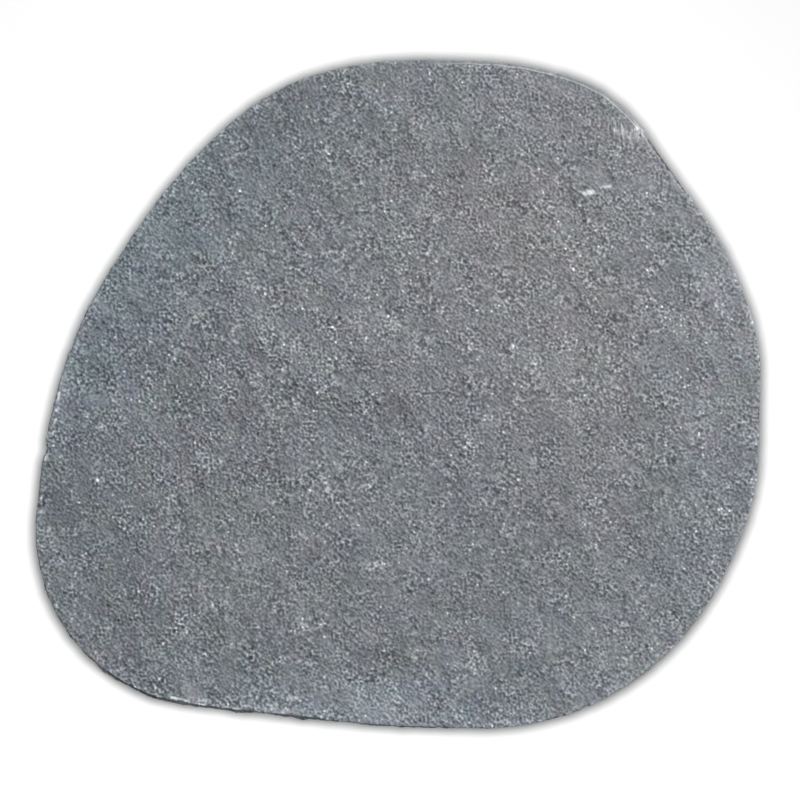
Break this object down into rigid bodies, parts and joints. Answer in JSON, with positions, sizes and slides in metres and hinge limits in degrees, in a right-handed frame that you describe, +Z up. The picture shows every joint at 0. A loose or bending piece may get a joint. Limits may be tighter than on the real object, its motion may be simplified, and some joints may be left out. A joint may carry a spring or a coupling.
{
  "type": "limestone stepping stone",
  "caption": "Irregular rounded flat slab of grey limestone with a rough worn top and a sawn underside, laid on the ground as a stepping stone.",
  "frame": {"origin": "on the ground under the middle of the slab's box", "axes": "+Z up, out of the walked-on face; +X along the slab's longest side; +Y across it, towards the end of the slab where the long straight flank starts"},
  "size_m": [0.4492, 0.416, 0.0359],
  "materials": {
    "limestone": "coarse split and worn face, matt, cool mid grey with paler crystal specks"
  },
  "bodies": {
    "root": {"stepping_stone": "limestone"}
  },
  "joints": []
}
